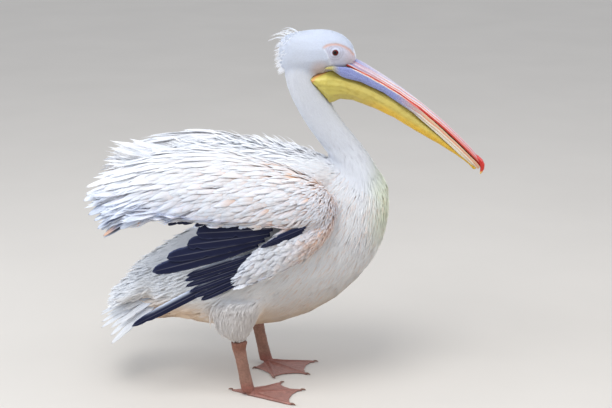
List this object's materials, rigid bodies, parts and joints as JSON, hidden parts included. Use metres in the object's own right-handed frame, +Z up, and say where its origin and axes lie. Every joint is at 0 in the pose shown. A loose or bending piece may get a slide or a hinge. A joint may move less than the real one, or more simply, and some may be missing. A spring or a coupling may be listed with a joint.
{
  "type": "pelican",
  "caption": "Life-size still pelican standing on both webbed feet, neck raised, long pouched bill angled down, wings half lifted with drooping primaries.",
  "frame": {"origin": "on the floor under the middle of the bounding box", "axes": "+X forward, the way the bill points; +Y the bird's left; +Z up"},
  "size_m": [0.9194, 0.3658, 0.862],
  "materials": {
    "plumage": "matt white contour feathers",
    "flight_pale": "matt pale grey flight feathers",
    "flight_dark": "satin blue-black flight feathers",
    "bill_upper": "satin horn, cream with red edges",
    "bill_lower": "satin horn, blue-grey to cream",
    "bill_nail": "glossy red horn",
    "pouch": "soft yellow skin",
    "bare_skin": "scaly pink-brown skin",
    "claw": "dark horn",
    "eye": "wet dark red-brown"
  },
  "bodies": {
    "root": {"eye_right": "eye", "eye_left": "eye", "bill_nail": "bill_nail", "bill_upper": "bill_upper", "bill_lower": "bill_lower", "pouch": "pouch", "head": "plumage", "crest": "plumage", "trunk": "plumage", "neck_upper": "plumage", "neck_lower": "plumage", "mantle": "plumage", "secondaries_right": "flight_pale", "secondaries_left": "flight_pale", "arm_right": "plumage", "arm_left": "plumage", "hand_right": "plumage", "hand_left": "plumage", "alula_right": "flight_dark", "alula_left": "flight_dark", "tertials_right": "flight_pale", "tertials_left": "flight_pale", "primaries_inner_right": "flight_dark", "primaries_inner_left": "flight_dark", "primaries_outer_right": "flight_dark", "primaries_outer_left": "flight_dark", "tail": "plumage", "thigh_right": "plumage", "thigh_left": "plumage", "leg_right": "bare_skin", "leg_left": "bare_skin", "foot_right": "bare_skin", "foot_left": "bare_skin", "claw_hallux_right": "claw", "claw_inner_right": "claw", "claw_middle_right": "claw", "claw_outer_right": "claw", "claw_hallux_left": "claw", "claw_inner_left": "claw", "claw_middle_left": "claw", "claw_outer_left": "claw"}
  },
  "joints": []
}
